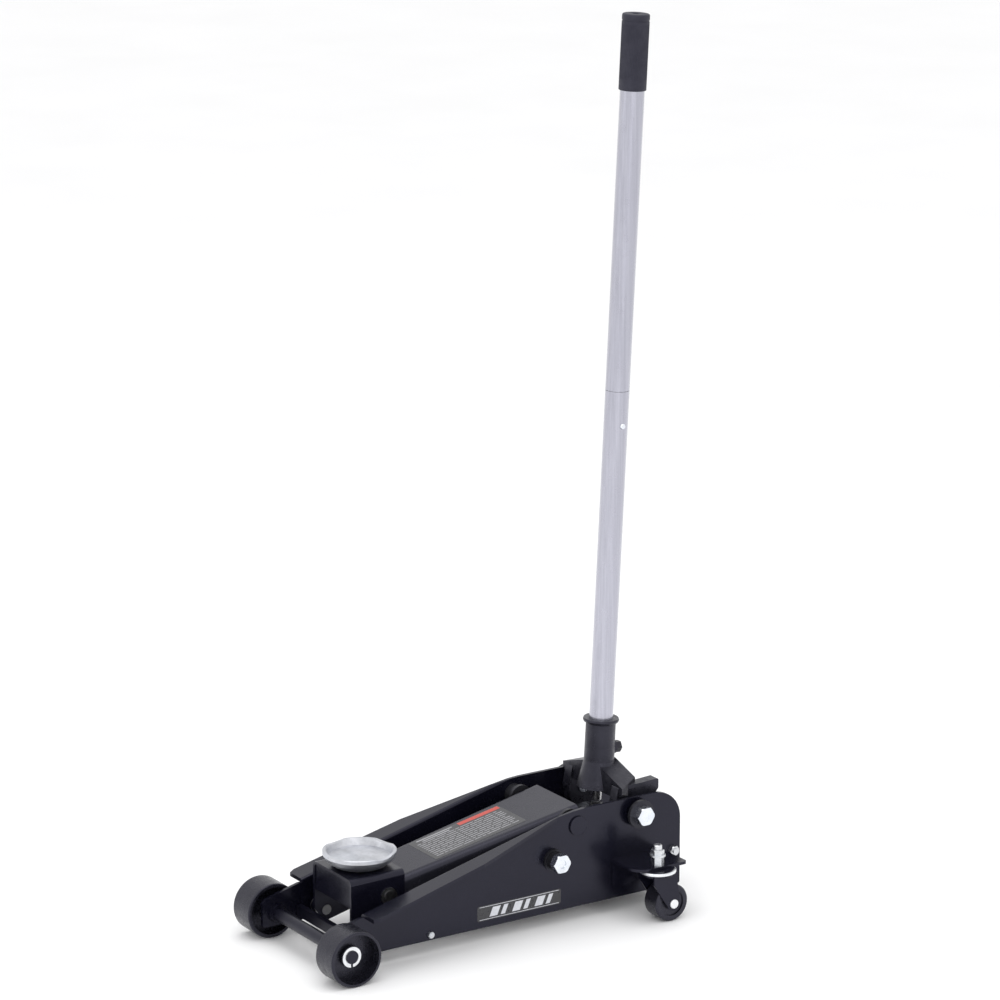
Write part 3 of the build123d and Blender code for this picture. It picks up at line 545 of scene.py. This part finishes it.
def build_side_badges():
    """A plain panel with a light frame and slanted bars low on each side plate."""
    width, height, depth = 0.134, 0.0215, 0.00025
    face_x, centre_y, centre_z = 0.082, 0.029, 0.0415
    first_bar, pitch = -0.045, 0.018
    for side, sign in (("right", 1), ("left", -1)):
        turn = Matrix(((0, 0, sign, 0), (sign, 0, 0, 0), (0, 1, 0, 0), (0, 0, 0, 1)))
        place = Matrix.Translation((sign * face_x, centre_y, centre_z)) @ turn
        bm = bmesh.new()
        flat_patch(bm, rounded_rectangle(width, height, 0.003), place, depth, 0)
        lifted = place @ Matrix.Translation((0, 0, depth * 0.6))
        for y in (-height / 2 + 0.0018, height / 2 - 0.0018):
            shifted = lifted @ Matrix.Translation((0, y, 0))
            flat_patch(bm, rounded_rectangle(width - 0.007, 0.0007, 0.0003), shifted, depth, 1)
        for i in range(6):
            x = first_bar + pitch * i
            lean, half, bar = 0.0028, 0.0064, 0.0125 if i % 2 == 0 else 0.0068
            outline = [
                (x - lean, -half),
                (x + bar - lean, -half),
                (x + bar + lean, half),
                (x + lean, half),
            ]
            flat_patch(bm, outline, lifted, depth, 1)
        badge = add_mesh(f"side_badge_{side}", bm, smooth=False)
        badge.data.materials.append(look["panel"])
        badge.data.materials.append(look["pale"])
        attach(badge, "frame_body")


def build_arm_label():
    """A plain sheet on the arm's top: one red bar and rows of short pale lines, with no lettering."""
    width, length, depth = 0.072, 0.147, 0.0002
    x, y = -0.001, -0.0005
    z = ARM_TOP_AT_ORIGIN + ARM_SLOPE * y
    place = Matrix.Translation((x, y, z)) @ Matrix.Rotation(ARM_LEAN, 4, "X")
    bm = bmesh.new()
    flat_patch(bm, rounded_rectangle(width, length, 0.003), place, depth, 0)
    lifted = place @ Matrix.Translation((0, 0, depth * 0.6))
    red = lifted @ Matrix.Translation((-0.0305, 0.038, 0))
    flat_patch(bm, rounded_rectangle(0.0085, 0.066, 0.0008), red, depth, 1)
    reach = 0.067
    for row in range(10):
        across = -0.021 + 0.0054 * row
        at = -reach
        step = 0
        while at < reach - 0.005:
            dash = 0.006 + 0.005 * ((row * 5 + step * 3) % 4)
            dash = min(dash, reach - at)
            middle = lifted @ Matrix.Translation((across, at + dash / 2, 0))
            flat_patch(bm, rounded_rectangle(0.0016, dash, 0.0003, 2), middle, depth, 2)
            at += dash + 0.0018
            step += 1
    for row in range(2):
        middle = lifted @ Matrix.Translation((-0.031 + 0.005 * row, -0.034, 0))
        flat_patch(bm, rounded_rectangle(0.0024, 0.058 - 0.014 * row, 0.0005), middle, depth, 2)
    label = add_mesh("arm_label", bm, smooth=False)
    for key in ("panel", "red", "dim"):
        label.data.materials.append(look[key])
    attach(label, "lift_arm_body")


# ---------------------------------------------------------------- stage, lights and camera
def build_stage():
    """A plain pale floor, far larger than the view."""
    bm = bmesh.new()
    half, level = 14.0, -0.0002
    outline = ((-half, -half), (half, -half), (half, half), (-half, half))
    bm.faces.new([bm.verts.new((x, y, level)) for x, y in outline])
    floor = add_mesh("floor", bm, smooth=False)
    s = Shader("floor_paper")
    drift = s.ramp(s.noise(3.0, 2.0), (0.3, 0.0), (0.7, 1.0))
    s.base(s.mix(drift, (0.93, 0.93, 0.935), (0.95, 0.95, 0.955)))
    s.rough(0.9)
    s.bump((s.noise(220.0, 2.0), 0.02, 0.0004))
    floor.data.materials.append(s.material)


def area_light(name, place, target, size, power, colour=(1, 1, 1)):
    """A soft rectangular lamp that points at a target."""
    data = bpy.data.lights.new(name, "AREA")
    data.shape = "RECTANGLE"
    data.size, data.size_y = size
    data.energy = power
    data.color = colour
    lamp = bpy.data.objects.new(name, data)
    lamp.location = place
    lamp.rotation_euler = (Vector(target) - Vector(place)).to_track_quat("-Z", "Y").to_euler()
    bpy.context.scene.collection.objects.link(lamp)


def build_lights():
    """A white studio: bright surroundings, a large overhead panel and two soft sides."""
    world = bpy.data.worlds.new("studio")
    bpy.context.scene.world = world
    world.use_nodes = True
    sky = world.node_tree.nodes["Background"]
    sky.inputs["Color"].default_value = (1.0, 1.0, 1.0, 1)
    sky.inputs["Strength"].default_value = 1.04
    area_light("overhead", (0.4, -0.4, 3.0), (0, 0, 0.2), (2.6, 2.6), 26)
    area_light("near_side", (3.2, -1.2, 1.6), (0, 0, 0.3), (1.6, 1.6), 9)
    area_light("front_side", (-0.8, -3.2, 1.8), (0, 0, 0.3), (1.6, 1.6), 7)


def build_camera():
    """A long lens at the height and bearing of a catalogue view."""
    bearing, pitch = radians(56.98986), radians(15.41746)
    data = bpy.data.cameras.new("camera")
    data.sensor_width = 36.0
    data.lens = 162.0
    data.clip_end = 60.0
    camera = bpy.data.objects.new("camera", data)
    camera.location = (4.827044, -3.084438, 2.170510)
    camera.rotation_euler = (pi / 2 - pitch, 0, bearing)
    bpy.context.scene.collection.objects.link(camera)
    bpy.context.scene.camera = camera


paint_nodes()
build_grip()
build_springs()
build_side_badges()
build_arm_label()
build_stage()
build_lights()
build_camera()

bpy.context.scene.view_settings.view_transform = "Standard"
